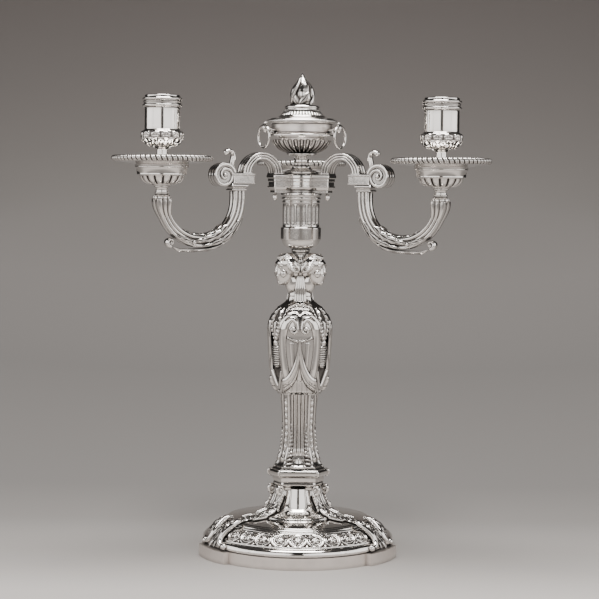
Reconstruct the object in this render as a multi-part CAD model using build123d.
"""Three-light candelabrum: a candlestick with a lift-off branch unit, made as separate pieces.

The frame is in millimetres, +Z up, with the origin on the stem's axis at the foot's underside.
The piece has threefold symmetry: arms, consoles and heads share three directions, and the plain
panels of the foot and stem lie between them, one of them facing -Y.
"""

import math
import os

from build123d import *

# ---- driving dimensions -------------------------------------------------------------------------

ARM_ANGLES = (210, 330, 90)
PANEL_ANGLES = (270, 30, 150)

# Heights of the pieces, from the table up.
PLINTH_H = 9.2
DOME_H = 40.8
COLLAR_H = 17.4
SHAFT_H = 58.1
BODY_H = 73.5
NECK_H = 39.5
DRUM_H = 44.3
HUB_H = 14.5
URN_FOOT_H = 16.5
URN_BOWL_H = 23.0
URN_LID_H = 14.5
FLAME_H = 26.7

# Foot.
FOOT_R = 75.5
PLINTH_STEP = 4.0
PLINTH_BREAK_HALF = 21.0
PLINTH_RING = 13.0
DOME_WALL = 2.5
DOME_CAP = 3.5
CONSOLE_RISE = 3.2
CONSOLE_TOP_HALF = 9.5
CONSOLE_FOOT_HALF = 14.5
CONSOLE_SCROLL_R = 4.0
CARTOUCHE_W = 16.0
CARTOUCHE_H = 13.0
CARTOUCHE_RISE = 2.5

# Stem.
COLLAR_APOTHEM = 22.5
COLLAR_HALF_SIDE = 8.3
STEM_FOOT_APOTHEM = 18.2
SHAFT_WAIST_APOTHEM = 11.4
SHAFT_TOP_APOTHEM = 12.7
BODY_KNOT_APOTHEM = 17.9
BODY_APOTHEM = 22.6
STEM_SIDE_SHARE = 0.42
CORE_R = 7.5
BODY_CORE_R = 14.0
BODY_CORE_END = 9.0
PANEL_W = 17.0
PANEL_RISE = 3.0
NECK_R = 9.8
NECK_BASE_H = 8.0
NECK_CORE_R = 6.5
NECK_RING_R = 7.2
NECK_RING_H = 2.4
HEAD_R = 11.0
HEAD_OFFSET = 12.6
HEAD_GAP = 0.2

# The candlestick's own socket and the plug that seats in it.
PLUG_R = 12.0
DRUM_WALL = 2.35
DRUM_BAND_RISE = 1.6
DRUM_FOOT_R = 8.4
DRUM_FLOOR_H = 24.0
PLUG_L = 19.0
PLUG_FIT = 0.05

# Tie rods, nuts and screws.
ROD_R = 2.5
ROD_CLEARANCE = 0.5
ROD_FIT = 0.05
NUT_ACROSS = 9.0
NUT_H = 4.5
WASHER_R = 9.0
WASHER_H = 1.5
ROD_TAIL = 2.5
STUD_R = 1.8
STUD_DEPTH = 5.0
SCREW_R = 1.5
DROP_R = 1.9
DROP_H = 6.0

# Hub.
HUB_R = 14.0
HUB_STEP_H = 2.7
HUB_STEP_IN = 3.0
BLOCK_W = 12.5
BLOCK_REACH = 28.0

# Urn.
URN_FOOT_R = 13.5
URN_STEM_R = 5.8
URN_RING_R = 11.8
URN_FRIEZE_R = 23.8
URN_BAND_RISE = 1.9
URN_WALL = 1.6
URN_FLOOR = 3.0
LID_OVERHANG = 3.6
LID_NECK_R = 13.6
LID_RIM_H = 4.0
LID_SPIGOT_H = 3.0
LID_CLEARANCE = 0.3
FLAME_R = 10.4
FLAME_FOOT_R = 8.3
FLAME_PEG_R = 3.0
FLAME_PEG_L = 6.0

# Ring handles.
RING_R = 8.7
RING_WIRE_R = 0.8
EYE_OUT = 6.6
EYE_HOLE_R = 1.4
EYE_R = 2.7
EYE_W = 3.0
EYE_DROP = 1.8

# Arms, in each arm's own upright plane: reach from the axis, then height.
ARM_W = 12.5
ARCH_HALF = 17.4
ARCH_H = 15.9
ARCH_BAND_FOOT = 7.5
ARCH_BAND_TOP = 5.6
ARCH_INSET = 0.6
SCROLL_LAP = 2.8
SCROLL_BLOCK_L = 19.1
SCROLL_BLOCK_H = 8.0
SCROLL_MOULD_H = 5.3
SCROLL_MOULD_L = 14.0
VOLUTE_R = 9.75
VOLUTE_OFFSET = 6.6
VOLUTE_DROP = 1.5
BRANCH_INSET = 12.6
BRANCH_R = 32.0
BRANCH_W = 10.0
BRANCH_DEPTH = 9.2
BRANCH_DROP = 7.0
LEAF_T = 1.2
LEAF_W = 12.0
LEAF_FROM = 205
LEAF_TO = 318
CURL_R = 3.2
CAPITAL_R = 6.8
CAPITAL_H = 3.6
CAPITAL_NECK_R = 4.6
CAPITAL_NECK_H = 6.2

# Pans, sockets and nozzles.
CUP_H = 14.9
CUP_FOOT_R = 6.8
CUP_BOWL_R = 16.9
CUP_BAND_R = 20.3
PAN_GAP = 3.05
PAN_H = 9.1
PAN_T = 1.8
PAN_FLOOR_H = 2.6
SOCKET_NECK_R = 4.1
SOCKET_NECK_H = 7.0
SOCKET_BULB_RISE = 2.2
SOCKET_BULB_H = 13.0
SOCKET_WALL = 1.05
SOCKET_TUBE_H = 19.6
CANDLE_R = 11.0
CANDLE_CLEARANCE = 0.1
CANDLE_DEPTH = 23.0
NOZZLE_WALL = 1.1
NOZZLE_FIT = 0.05
NOZZLE_FLANGE_RISE = 1.7
NOZZLE_FLANGE_H = 9.7

# ---- levels worked out from the heights ---------------------------------------------------------

DOME_Z = PLINTH_H
COLLAR_Z = DOME_Z + DOME_H
SHAFT_Z = COLLAR_Z + COLLAR_H
BODY_Z = SHAFT_Z + SHAFT_H
NECK_Z = BODY_Z + BODY_H
DRUM_Z = NECK_Z + NECK_H
HUB_Z = DRUM_Z + DRUM_H
HUB_TOP = HUB_Z + HUB_H
BOWL_Z = HUB_TOP + URN_FOOT_H
LID_Z = BOWL_Z + URN_BOWL_H
FLAME_Z = LID_Z + URN_LID_H

ARCH_CENTRE = BLOCK_REACH - ARCH_INSET - ARCH_BAND_FOOT + ARCH_HALF
SCROLL_START = ARCH_CENTRE + ARCH_HALF - ARCH_BAND_FOOT - SCROLL_LAP
SCROLL_UNDER = HUB_TOP - SCROLL_BLOCK_H - SCROLL_MOULD_H
BRANCH_TOP = SCROLL_UNDER - BRANCH_DROP
BRANCH_START = SCROLL_START + BRANCH_INSET
BRANCH_CENTRE = BRANCH_START + BRANCH_R
ARM_REACH = BRANCH_CENTRE + BRANCH_R
VOLUTE_REACH = SCROLL_START + SCROLL_BLOCK_L + VOLUTE_OFFSET
PAN_R = ARM_REACH - PAN_GAP - VOLUTE_R - VOLUTE_REACH
CUP_Z = BRANCH_TOP + CAPITAL_H + CAPITAL_NECK_H
PAN_Z = CUP_Z + CUP_H
SOCKET_Z = PAN_Z + PAN_FLOOR_H + PAN_T
TUBE_Z = SOCKET_Z + SOCKET_NECK_H + SOCKET_BULB_H
NOZZLE_Z = TUBE_Z + SOCKET_TUBE_H
EYE_Z = LID_Z - EYE_DROP

ROD_HOLE_R = ROD_R + ROD_CLEARANCE
NOZZLE_BORE_R = CANDLE_R + CANDLE_CLEARANCE
NOZZLE_R = NOZZLE_BORE_R + NOZZLE_WALL
SOCKET_R = NOZZLE_R + NOZZLE_FIT + SOCKET_WALL
SOCKET_BULB_R = SOCKET_R + SOCKET_BULB_RISE
NOZZLE_FLANGE_R = SOCKET_R + NOZZLE_FLANGE_RISE
DRUM_R = PLUG_R + PLUG_FIT + DRUM_WALL
DRUM_BAND_R = DRUM_R + DRUM_BAND_RISE
URN_BAND_R = URN_FRIEZE_R + URN_BAND_RISE
LID_R = URN_FRIEZE_R + LID_OVERHANG
EYE_REACH = LID_R + EYE_OUT
SPIGOT_R = URN_FRIEZE_R - URN_WALL - LID_CLEARANCE

# The dome's outline: shares of the foot's radius and of the dome's height, from its edge inwards.
DOME_OUTLINE = [
    (0.993, 0.000), (0.997, 0.056), (0.974, 0.118), (0.940, 0.154), (0.874, 0.289),
    (0.775, 0.387), (0.755, 0.424), (0.702, 0.473), (0.662, 0.493), (0.530, 0.547),
    (0.397, 0.608), (0.291, 0.706), (0.232, 0.828), (0.199, 1.000),
]


# ---- helpers ------------------------------------------------------------------------------------

def turned(outline):
    """A solid turned about Z from a closed outline of (radius, height) points."""
    wire = Polyline(*[(r, 0, z) for r, z in outline], close=True)
    return revolve(make_face(wire), axis=Axis.Z, revolution_arc=360)


def upright(outline, width):
    """A plate in the local XZ plane, from a closed outline of (reach, height) points."""
    wire = Polyline(*[(u, 0, z) for u, z in outline], close=True)
    return extrude(make_face(wire), amount=width / 2, both=True)


def post(radius, bottom, top, reach=0.0):
    """An upright cylinder between two heights, at a reach along local X."""
    height = top - bottom
    return Pos(reach, 0, bottom + height / 2) * Cylinder(radius, height)


def block(start, end, width, bottom, top):
    """A box from one reach to another, centred across the local X axis."""
    size = Box(end - start, width, top - bottom)
    return Pos((start + end) / 2, 0, (bottom + top) / 2) * size


def hexagon(height, apothem, half_side):
    """A six-sided face whose short sides, at the given apothem, face the three arms."""
    points = []
    for angle in sorted(ARM_ANGLES):
        turn = math.radians(angle)
        out = (math.cos(turn), math.sin(turn))
        for side in (-half_side, half_side):
            x = apothem * out[0] - side * out[1]
            y = apothem * out[1] + side * out[0]
            points.append((x, y, height))
    return make_face(Polyline(*points, close=True))


def hexagonal(levels):
    """A solid with flat sides through six-sided sections, each (height, apothem, half side)."""
    return loft([hexagon(*level) for level in levels], ruled=True)


def around(shape, angles):
    """Copies of a shape, turned to each of the given angles."""
    return [Rot(0, 0, angle) * shape for angle in angles]


def ring_plate(outer, inner, centre, height, width):
    """A round ring that stands in the local XZ plane."""
    outside = Pos(centre, 0, height) * Rot(90, 0, 0) * Cylinder(outer, width)
    inside = Pos(centre, 0, height) * Rot(90, 0, 0) * Cylinder(inner, 2 * width)
    return outside - inside


def hex_nut(bottom, hole_r):
    """A six-sided nut standing on the given height."""
    body = extrude(Pos(0, 0, bottom) * RegularPolygon(NUT_ACROSS / 2, 6, major_radius=False), NUT_H)
    return body - post(hole_r, bottom - 1, bottom + NUT_H + 1)


# ---- foot ---------------------------------------------------------------------------------------

def dome_outline():
    return [(FOOT_R * r, DOME_Z + DOME_H * z) for r, z in DOME_OUTLINE]


def dome_envelope():
    """Everything inside the dome's outer surface, down to the plinth."""
    return turned([(0, DOME_Z)] + dome_outline() + [(0, COLLAR_Z)])


def make_plinth():
    plate = post(FOOT_R, 0, PLINTH_H)
    outer = post(FOOT_R + PLINTH_STEP, 0, PLINTH_H)
    for angle in ARM_ANGLES:
        reach = FOOT_R + 2 * PLINTH_STEP
        sector = Rot(0, 0, angle) * block(0, reach, 2 * PLINTH_BREAK_HALF, 0, PLINTH_H)
        plate = plate + (outer & sector)
    return plate - post(FOOT_R - PLINTH_RING, -1, PLINTH_H + 1)


def make_dome():
    outer = dome_outline()
    ceiling = COLLAR_Z - DOME_CAP
    inner = [(r - DOME_WALL, z - DOME_WALL) for r, z in outer]
    inner = [p for p in inner if DOME_Z + 0.5 < p[1] < ceiling - 0.5]
    top_r = outer[-1][0]
    outline = outer + [(ROD_HOLE_R, COLLAR_Z), (ROD_HOLE_R, ceiling), (top_r - DOME_WALL, ceiling)]
    outline += list(reversed(inner)) + [(outer[0][0] - DOME_WALL, DOME_Z)]
    return turned(outline)


def make_console(envelope):
    """One scrolled rib that runs down the dome from the collar to the plinth."""
    crest = [(r, z + CONSOLE_RISE) for r, z in dome_outline() if FOOT_R * 0.2 < r < FOOT_R * 0.95]
    foot_r = crest[0][0] + 2.0
    top_r = crest[-1][0]
    outline = [(top_r, DOME_Z), (foot_r, DOME_Z), (foot_r, crest[0][1])] + crest
    blank = upright(outline, 4 * CONSOLE_FOOT_HALF)
    plan = Polyline(
        (top_r - 2, -CONSOLE_TOP_HALF), (FOOT_R, -CONSOLE_FOOT_HALF),
        (FOOT_R, CONSOLE_FOOT_HALF), (top_r - 2, CONSOLE_TOP_HALF), close=True,
    )
    taper = extrude(make_face(plan), COLLAR_Z + CONSOLE_RISE)
    scroll_r = FOOT_R + PLINTH_STEP - CONSOLE_SCROLL_R - 1.0
    scroll = Pos(scroll_r, 0, DOME_Z + CONSOLE_SCROLL_R) * Rot(90, 0, 0) * Cylinder(
        CONSOLE_SCROLL_R, 2 * CONSOLE_FOOT_HALF
    )
    web = block(foot_r - 1, scroll_r, 2 * CONSOLE_FOOT_HALF, DOME_Z, DOME_Z + CONSOLE_SCROLL_R)
    shape = (blank & taper) + scroll + web
    return (shape - envelope).solids().sort_by(SortBy.VOLUME)[-1]


def make_cartouche(envelope):
    """One plain shield on the dome's bell, between two consoles."""
    middle = DOME_Z + 0.82 * DOME_H
    bell_r = FOOT_R * DOME_OUTLINE[-1][0]
    bottom_r = FOOT_R * DOME_OUTLINE[-3][0]
    slope = upright(
        [
            (bell_r - 2, middle + CARTOUCHE_H / 2), (bell_r + CARTOUCHE_RISE, middle + CARTOUCHE_H / 2),
            (bottom_r + CARTOUCHE_RISE, middle - CARTOUCHE_H / 2), (bell_r - 2, middle - CARTOUCHE_H / 2),
        ],
        CARTOUCHE_W,
    )
    return (slope - envelope).solids().sort_by(SortBy.VOLUME)[-1]


# ---- stem ---------------------------------------------------------------------------------------

def rod_hole(bottom, top):
    return post(ROD_HOLE_R, bottom - 1, top + 1)


def core(bottom, top):
    """The hollow of a cast piece, open at both ends."""
    return post(CORE_R, bottom - 1, top + 1)


def make_collar():
    """The stem's six-sided foot plinth, with mouldings above and below its main band."""
    step = COLLAR_H / 12
    levels = [
        (0, -5.5, -1.5), (2, -5.5, -1.5), (2.5, -3.5, -1), (6, -3.5, -1), (7, 0, 0), (11, 0, 0),
        (11.7, -2.5, -0.8), (12, STEM_FOOT_APOTHEM - COLLAR_APOTHEM, -0.7),
    ]
    sections = [
        (COLLAR_Z + k * step, COLLAR_APOTHEM + da, COLLAR_HALF_SIDE + dh) for k, da, dh in levels
    ]
    return hexagonal(sections) - core(COLLAR_Z, SHAFT_Z)


def stem_section(height, apothem):
    return (height, apothem, STEM_SIDE_SHARE * apothem)


def make_shaft():
    sections = [
        stem_section(SHAFT_Z, STEM_FOOT_APOTHEM),
        stem_section(SHAFT_Z + 0.2 * SHAFT_H, (STEM_FOOT_APOTHEM + SHAFT_WAIST_APOTHEM * 2) / 3),
        stem_section(SHAFT_Z + 0.54 * SHAFT_H, SHAFT_WAIST_APOTHEM),
        stem_section(BODY_Z, SHAFT_TOP_APOTHEM),
    ]
    return hexagonal(sections) - core(SHAFT_Z, BODY_Z)


def body_sections():
    return [
        stem_section(BODY_Z, BODY_KNOT_APOTHEM),
        stem_section(BODY_Z + 0.28 * BODY_H, 0.93 * BODY_APOTHEM),
        stem_section(BODY_Z + 0.65 * BODY_H, BODY_APOTHEM),
        stem_section(BODY_Z + 0.86 * BODY_H, 0.9 * BODY_APOTHEM),
        stem_section(NECK_Z, NECK_R),
    ]


def make_body():
    ceiling = BODY_Z + 0.8 * BODY_H
    shape = hexagonal(body_sections()) - core(BODY_Z, ceiling)
    shape -= post(BODY_CORE_R, BODY_Z + BODY_CORE_END, ceiling)
    return shape - rod_hole(BODY_Z, NECK_Z)


def make_panel():
    """One scroll-topped panel, laid on a side of the stem's body between two corners."""
    bottom = BODY_Z + 0.12 * BODY_H
    top = BODY_Z + 0.8 * BODY_H
    side = 0.5 + STEM_SIDE_SHARE * math.sqrt(3) / 2
    outline = [
        (BODY_APOTHEM * side / 2, bottom), (BODY_KNOT_APOTHEM * side + PANEL_RISE, bottom),
        (BODY_APOTHEM * side + PANEL_RISE, BODY_Z + 0.6 * BODY_H),
        (BODY_APOTHEM * side + PANEL_RISE, top), (BODY_APOTHEM * side / 2, top),
    ]
    solid_body = Rot(0, 0, -PANEL_ANGLES[0]) * hexagonal(body_sections())
    return (upright(outline, PANEL_W) - solid_body).solids().sort_by(SortBy.VOLUME)[-1]


def make_neck():
    ring_z = DRUM_Z - NECK_RING_H
    shape = post(NECK_R, NECK_Z, NECK_Z + NECK_BASE_H)
    shape += post(NECK_CORE_R, NECK_Z + NECK_BASE_H, ring_z)
    shape += post(NECK_RING_R, ring_z, DRUM_Z)
    return shape - rod_hole(NECK_Z, DRUM_Z)


def make_head():
    """One plain head against the neck, in its own third of the circle."""
    bottom = NECK_Z + NECK_BASE_H
    height = NECK_H - NECK_BASE_H - NECK_RING_H
    shape = [
        (0, 0), (0.5, 0.02), (0.72, 0.2), (0.93, 0.42), (1, 0.68), (0.86, 0.88), (0.5, 0.99), (0, 1),
    ]
    egg = turned([(HEAD_R * r, bottom + height * z) for r, z in shape])
    egg = Pos(HEAD_OFFSET, 0, 0) * egg
    far = 2 * (HEAD_OFFSET + HEAD_R)
    slope = math.tan(math.radians(60))
    plan = Polyline(
        (HEAD_GAP, 0), (far, -(far - HEAD_GAP) * slope), (far, (far - HEAD_GAP) * slope), close=True
    )
    third = Pos(0, 0, bottom) * extrude(make_face(plan), height)
    return (egg & third) - post(NECK_CORE_R, bottom - 1, bottom + height + 1)


def make_drum():
    """The candlestick's own socket: a fluted drum on a small bowl, bored for the plug."""
    floor = DRUM_Z + DRUM_FLOOR_H
    outline = [
        (0, 0), (DRUM_FOOT_R, 0), (DRUM_BAND_R - 1, 6.7), (DRUM_BAND_R, 7.1), (DRUM_BAND_R, 17.5),
        (DRUM_R, 17.9), (DRUM_R, DRUM_H - 7.8), (DRUM_R + 0.8, DRUM_H - 7.2),
        (DRUM_BAND_R, DRUM_H - 1.5), (DRUM_BAND_R, DRUM_H), (0, DRUM_H),
    ]
    shape = turned([(r, DRUM_Z + z) for r, z in outline])
    shape -= post(PLUG_R + PLUG_FIT, floor, HUB_Z + 1)
    return shape - post(ROD_R, DRUM_Z - 1, floor - 3)


def make_tie_rod():
    """The rod that holds the candlestick together, screwed into the drum's floor."""
    lowest = COLLAR_Z - DOME_CAP - WASHER_H - NUT_H - ROD_TAIL
    return post(ROD_R, lowest, DRUM_Z + DRUM_FLOOR_H - 3)


def make_tie_washer():
    top = COLLAR_Z - DOME_CAP
    return post(WASHER_R, top - WASHER_H, top) - post(ROD_HOLE_R, top - WASHER_H - 1, top + 1)


# ---- branch unit --------------------------------------------------------------------------------

def make_plug():
    bottom = HUB_Z - PLUG_L
    shape = post(PLUG_R, bottom, HUB_Z) - post(ROD_R + ROD_FIT, bottom - 1, HUB_Z + 1)
    return shape - post(NUT_ACROSS / 2 + 1.5, bottom - 1, bottom + NUT_H + ROD_TAIL)


def make_hub():
    """A small round entablature with a block under each arm."""
    shape = post(HUB_R, HUB_Z, HUB_TOP)
    for angle in ARM_ANGLES:
        for step in range(3):
            bottom = HUB_Z + step * HUB_STEP_H
            top = HUB_TOP if step == 2 else bottom + HUB_STEP_H
            reach = BLOCK_REACH - (2 - step) * HUB_STEP_IN
            width = BLOCK_W - (2 - step)
            shape += Rot(0, 0, angle) * block(0, reach, width, bottom, top)
        shape -= Rot(0, 0, angle) * post(SCREW_R, HUB_Z - 1, HUB_TOP + 1, screw_reach())
    return shape - post(ROD_R, HUB_Z - 1, HUB_TOP + 1)


def screw_reach():
    """The reach of the screw that holds an arm to the hub: the middle of the arch's inner foot."""
    return ARCH_CENTRE - ARCH_HALF + ARCH_BAND_FOOT / 2


def make_arm_screw():
    """A screw up through the hub's block, whose head is a small hanging drop."""
    reach = screw_reach()
    drop = turned([(0, -DROP_H), (0.5 * DROP_R, -0.9 * DROP_H), (DROP_R, -0.6 * DROP_H),
                   (0.7 * DROP_R, -0.2 * DROP_H), (0.9 * DROP_R, 0), (0, 0)])
    return Pos(reach, 0, HUB_Z) * drop + post(SCREW_R, HUB_Z, HUB_TOP + 5, reach)


def make_arch():
    """The ribbed arch that springs from the hub's block to the arm's own block."""
    outside = Plane.XZ * Ellipse(ARCH_HALF, ARCH_H)
    inside = Plane.XZ * Ellipse(ARCH_HALF - ARCH_BAND_FOOT, ARCH_H - ARCH_BAND_TOP)
    ring = extrude(outside - inside, amount=ARM_W / 2, both=True)
    upper = block(-ARCH_HALF, ARCH_HALF, 2 * ARM_W, 0, ARCH_H)
    arch = Pos(ARCH_CENTRE, 0, HUB_TOP) * (ring & upper)
    return arch - post(SCREW_R, HUB_TOP - 1, HUB_TOP + 5, screw_reach())


def make_scroll():
    """The arm's block with its stepped moulding and the volute beside it."""
    end = SCROLL_START + SCROLL_BLOCK_L
    mould_bottom = HUB_TOP - SCROLL_BLOCK_H - SCROLL_MOULD_H
    middle = BRANCH_START
    shape = block(SCROLL_START, end, ARM_W, HUB_TOP - SCROLL_BLOCK_H, HUB_TOP)
    shape += block(middle - SCROLL_MOULD_L / 2, middle + SCROLL_MOULD_L / 2, ARM_W - 1,
                   mould_bottom + SCROLL_MOULD_H / 2, HUB_TOP - SCROLL_BLOCK_H)
    shape += block(middle - BRANCH_DEPTH / 2 - 0.8, middle + BRANCH_DEPTH / 2 + 0.8, BRANCH_W + 1,
                   mould_bottom, mould_bottom + SCROLL_MOULD_H / 2)
    volute = Rot(90, 0, 0) * Cylinder(VOLUTE_R, ARM_W)
    return shape + Pos(VOLUTE_REACH, 0, HUB_TOP - VOLUTE_DROP) * volute


def make_branch():
    """The J-shaped branch: down from the scroll, round a half circle and up to the capital."""
    outer = BRANCH_R + BRANCH_DEPTH / 2
    inner = BRANCH_R - BRANCH_DEPTH / 2
    ring = ring_plate(outer, inner, BRANCH_CENTRE, BRANCH_TOP, BRANCH_W)
    half = block(BRANCH_CENTRE - outer, ARM_REACH + outer, 2 * BRANCH_W, BRANCH_TOP - outer, BRANCH_TOP)
    shape = ring & half
    shape += block(BRANCH_START - BRANCH_DEPTH / 2, BRANCH_START + BRANCH_DEPTH / 2, BRANCH_W,
                   BRANCH_TOP, SCROLL_UNDER)
    shape += post(CAPITAL_R, BRANCH_TOP, BRANCH_TOP + CAPITAL_H, ARM_REACH)
    shape += post(CAPITAL_NECK_R, BRANCH_TOP + CAPITAL_H, CUP_Z, ARM_REACH)
    return shape - post(STUD_R, CUP_Z - STUD_DEPTH, CUP_Z + 1, ARM_REACH)


def make_leaf():
    """The long leaf under the branch, with its tip curled clear of the branch's outer end."""
    inner = BRANCH_R + BRANCH_DEPTH / 2
    ring = ring_plate(inner + LEAF_T, inner, BRANCH_CENTRE, BRANCH_TOP, LEAF_W)
    far = 3 * BRANCH_R
    middle = (LEAF_FROM + LEAF_TO) / 2
    points = [(0, 0)]
    for angle in (LEAF_FROM, middle, LEAF_TO):
        turn = math.radians(angle)
        points.append((far * math.cos(turn), far * math.sin(turn)))
    sector = upright([(BRANCH_CENTRE + u, BRANCH_TOP + z) for u, z in points], 2 * LEAF_W)
    turn = math.radians(LEAF_TO)
    reach = inner + CURL_R
    curl = Pos(BRANCH_CENTRE + reach * math.cos(turn), 0, BRANCH_TOP + reach * math.sin(turn))
    return (ring & sector) + curl * Rot(90, 0, 0) * Cylinder(CURL_R, LEAF_W)


def make_cup():
    """The gadrooned cup that carries the pan, bored for the socket's stud."""
    outline = [
        (0, 0), (CUP_FOOT_R, 0), (CUP_FOOT_R + 2, 0.8), (CUP_BOWL_R, 7.8), (CUP_BAND_R - 1.4, 8.0),
        (CUP_BAND_R, CUP_H), (0, CUP_H),
    ]
    shape = turned([(r, CUP_Z + z) for r, z in outline])
    return Pos(ARM_REACH, 0, 0) * (shape - post(STUD_R, CUP_Z - 1, PAN_Z + 1))


def make_pan():
    """The dished drip pan, bored for the socket's stud."""
    floor = PAN_FLOOR_H + PAN_T
    under = [(0, 0), (CUP_BAND_R - 0.3, 0), (0.76 * PAN_R, 1.6), (0.87 * PAN_R, 3.3), (PAN_R, 6.3)]
    inside = [
        (0.92 * PAN_R, PAN_H), (0.88 * PAN_R, PAN_H - 0.8), (0.82 * PAN_R, floor + 1.6),
        (0.69 * PAN_R, floor), (0, floor),
    ]
    shape = turned([(r, PAN_Z + z) for r, z in under + inside])
    return Pos(ARM_REACH, 0, 0) * (shape - post(STUD_R, PAN_Z - 1, SOCKET_Z + 1))


def make_socket():
    """The candle socket: a turned neck, a leafed bulb and a tube that holds the nozzle."""
    bulb_z = SOCKET_Z + SOCKET_NECK_H
    outline = [
        (0, SOCKET_Z), (SOCKET_NECK_R + 2, SOCKET_Z), (SOCKET_NECK_R + 2, SOCKET_Z + 1.5),
        (SOCKET_NECK_R, SOCKET_Z + 2), (SOCKET_NECK_R, bulb_z - 1), (0.75 * SOCKET_BULB_R, bulb_z),
        (SOCKET_BULB_R, bulb_z + 0.5 * SOCKET_BULB_H), (SOCKET_R, TUBE_Z), (SOCKET_R, NOZZLE_Z),
        (0, NOZZLE_Z),
    ]
    floor = NOZZLE_Z + NOZZLE_FLANGE_H - CANDLE_DEPTH - NOZZLE_WALL
    shape = turned(outline) - post(NOZZLE_R + NOZZLE_FIT, floor, NOZZLE_Z + 1)
    return Pos(ARM_REACH, 0, 0) * (shape - post(STUD_R, SOCKET_Z - 1, SOCKET_Z + STUD_DEPTH))


def make_nozzle():
    """The lift-out liner that grips the candle, with its reeded flange above the socket."""
    top = NOZZLE_Z + NOZZLE_FLANGE_H
    floor = top - CANDLE_DEPTH
    groove = NOZZLE_Z + 0.38 * NOZZLE_FLANGE_H
    outline = [
        (0, floor - NOZZLE_WALL), (NOZZLE_R, floor - NOZZLE_WALL), (NOZZLE_R, NOZZLE_Z),
        (NOZZLE_FLANGE_R, NOZZLE_Z), (NOZZLE_FLANGE_R, groove - 0.4), (NOZZLE_FLANGE_R - 1, groove),
        (NOZZLE_FLANGE_R, groove + 0.4), (NOZZLE_FLANGE_R, top - 2.5), (NOZZLE_FLANGE_R - 1.4, top - 1.6),
        (NOZZLE_FLANGE_R - 1.8, top), (NOZZLE_BORE_R, top), (NOZZLE_BORE_R, floor), (0, floor),
    ]
    return Pos(ARM_REACH, 0, 0) * turned(outline)


def make_stud():
    """The stud that clamps socket, pan and cup to the branch."""
    return post(STUD_R, CUP_Z - STUD_DEPTH, SOCKET_Z + STUD_DEPTH, ARM_REACH)


# ---- urn ----------------------------------------------------------------------------------------

def make_urn_foot():
    outline = [
        (0, 0), (URN_FOOT_R, 0), (URN_FOOT_R, 4), (URN_STEM_R + 1, 5.5), (URN_STEM_R, 6.5),
        (URN_STEM_R, 12), (URN_STEM_R + 1.5, 14), (URN_RING_R, 15), (URN_RING_R, URN_FOOT_H),
        (0, URN_FOOT_H),
    ]
    shape = turned([(r, HUB_TOP + z) for r, z in outline])
    for angle in ARM_ANGLES:
        shape -= Rot(0, 0, angle) * post(SCREW_R + 4, HUB_TOP - 1, HUB_TOP + 6, screw_reach() + 4)
    return shape - post(ROD_R, HUB_TOP - 1, BOWL_Z + 1)


def make_urn_bowl():
    """The open fluted bowl that the lid closes."""
    frieze = BOWL_Z + 12
    outside = [
        (0, BOWL_Z), (0.38 * URN_FRIEZE_R, BOWL_Z), (0.76 * URN_FRIEZE_R, BOWL_Z + 3),
        (0.97 * URN_FRIEZE_R, BOWL_Z + 7), (URN_BAND_R - 1, frieze),
        (URN_BAND_R, frieze + 0.4), (URN_BAND_R, frieze + 4), (URN_FRIEZE_R, frieze + 4.4),
        (URN_FRIEZE_R, LID_Z),
    ]
    inner_r = URN_FRIEZE_R - URN_WALL
    inside = [
        (inner_r, LID_Z), (inner_r, frieze), (0.97 * inner_r, BOWL_Z + 8.5),
        (0.77 * inner_r, BOWL_Z + URN_FLOOR + 2), (0.45 * inner_r, BOWL_Z + URN_FLOOR),
        (0, BOWL_Z + URN_FLOOR),
    ]
    return turned(outside + inside) - post(ROD_R, BOWL_Z - 1, BOWL_Z + URN_FLOOR + 1)


def make_lid():
    """The lid, with a spigot that drops inside the bowl's mouth and a hole for the finial's peg."""
    top = FLAME_Z
    outline = [
        (0, LID_Z), (SPIGOT_R - URN_WALL, LID_Z), (SPIGOT_R - URN_WALL, LID_Z - LID_SPIGOT_H),
        (SPIGOT_R, LID_Z - LID_SPIGOT_H), (SPIGOT_R, LID_Z), (LID_R, LID_Z), (LID_R, LID_Z + LID_RIM_H),
        (0.67 * LID_R, LID_Z + LID_RIM_H + 1.2), (LID_NECK_R + 0.3, top - 3), (LID_NECK_R, top - 3),
        (LID_NECK_R, top), (0, top),
    ]
    return turned(outline) - post(FLAME_PEG_R, top - FLAME_PEG_L, top + 1)


def make_flame():
    """The flame finial, pegged into the lid."""
    shape = [
        (FLAME_FOOT_R, 0), (1.02 * FLAME_FOOT_R, 0.12), (FLAME_R, 0.34), (0.87 * FLAME_R, 0.55),
        (0.58 * FLAME_R, 0.78), (0.24 * FLAME_R, 0.95),
    ]
    outline = [(r, FLAME_Z + FLAME_H * z) for r, z in shape]
    flame = turned([(0, FLAME_Z)] + outline + [(0, FLAME_Z + FLAME_H)])
    return flame + post(FLAME_PEG_R, FLAME_Z - FLAME_PEG_L + 0.5, FLAME_Z + 1)


def make_urn_rod():
    """The rod that clamps plug, hub, urn foot and bowl together."""
    return post(ROD_R, HUB_Z - PLUG_L + 1, BOWL_Z + URN_FLOOR + NUT_H + 2)


def make_urn_nuts():
    lower = hex_nut(HUB_Z - PLUG_L + ROD_TAIL - 0.2, ROD_R)
    upper = hex_nut(BOWL_Z + URN_FLOOR, ROD_R)
    return [lower, upper]


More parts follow.
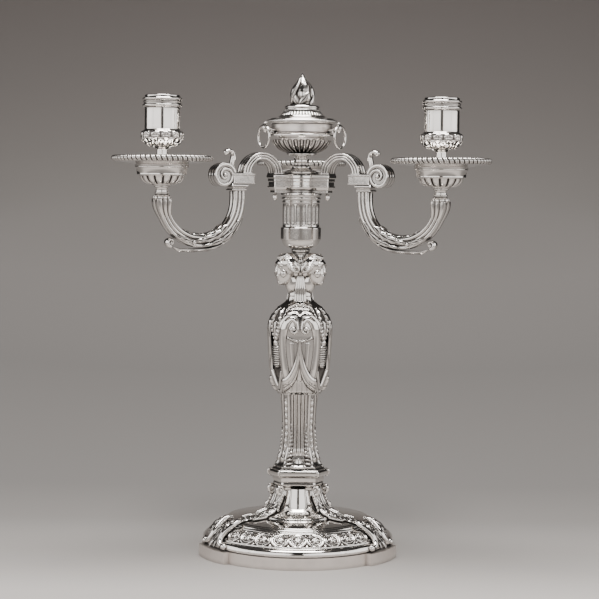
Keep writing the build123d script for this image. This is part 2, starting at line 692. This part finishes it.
def make_lug():
    """A small bracket on the urn's frieze, with a cross hole that the ring hangs through."""
    shape = block(URN_FRIEZE_R - 1, EYE_REACH, EYE_W, EYE_Z - EYE_R, EYE_Z + EYE_R)
    shape += Pos(EYE_REACH, 0, EYE_Z) * Rot(90, 0, 0) * Cylinder(EYE_R, EYE_W)
    shape -= Pos(EYE_REACH, 0, EYE_Z) * Rot(90, 0, 0) * Cylinder(EYE_HOLE_R, 2 * EYE_W)
    shape -= post(URN_FRIEZE_R, EYE_Z - 10, EYE_Z + 10)
    return shape - post(LID_R + LID_CLEARANCE, LID_Z - LID_CLEARANCE, LID_Z + 10)


def make_ring():
    """A loose ring handle, hanging from its lug with its plane facing outwards."""
    torus = Rot(0, 90, 0) * Torus(RING_R, RING_WIRE_R)
    return Pos(EYE_REACH, 0, EYE_Z - RING_R) * torus


# ---- the assembly -------------------------------------------------------------------------------

def make_nodes():
    envelope = dome_envelope() + post(STEM_FOOT_APOTHEM, COLLAR_Z, SHAFT_Z)
    base = make_console(envelope)
    nodes = {
        "base_plinth": make_plinth(),
        "base_dome": make_dome(),
        "base_cartouches": Compound(around(make_cartouche(envelope), PANEL_ANGLES)),
        "stem_collar": make_collar(),
        "stem_shaft": make_shaft(),
        "stem_body": make_body(),
        "stem_neck": make_neck(),
        "candle_drum": make_drum(),
        "tie_rod": make_tie_rod(),
        "tie_washer": make_tie_washer(),
        "tie_nut": hex_nut(COLLAR_Z - DOME_CAP - WASHER_H - NUT_H, ROD_R),
        "branch_plug": make_plug(),
        "hub": make_hub(),
        "arm_screws": Compound(around(make_arm_screw(), ARM_ANGLES)),
        "socket_studs": Compound(around(make_stud(), ARM_ANGLES)),
        "urn_foot": make_urn_foot(),
        "urn_bowl": make_urn_bowl(),
        "urn_lid": make_lid(),
        "urn_rod": make_urn_rod(),
        "urn_nuts": Compound(make_urn_nuts()),
        "flame_finial": make_flame(),
        "ring_lugs": Compound(around(make_lug(), ARM_ANGLES)),
    }
    by_arm = {
        "base_console": base,
        "head": make_head(),
        "arm_arch": make_arch(),
        "arm_scroll": make_scroll(),
        "arm_branch": make_branch(),
        "arm_leaf": make_leaf(),
        "pan_cup": make_cup(),
        "drip_pan": make_pan(),
        "candle_socket": make_socket(),
        "nozzle": make_nozzle(),
        "ring": make_ring(),
    }
    for name, shape in by_arm.items():
        for number, copy in enumerate(around(shape, ARM_ANGLES), 1):
            nodes[f"{name}_{number}"] = copy
    for number, copy in enumerate(around(make_panel(), PANEL_ANGLES), 1):
        nodes[f"stem_panel_{number}"] = copy
    return nodes


os.makedirs("parts", exist_ok=True)
for node, solid in make_nodes().items():
    export_step(solid, f"parts/{node}.step")
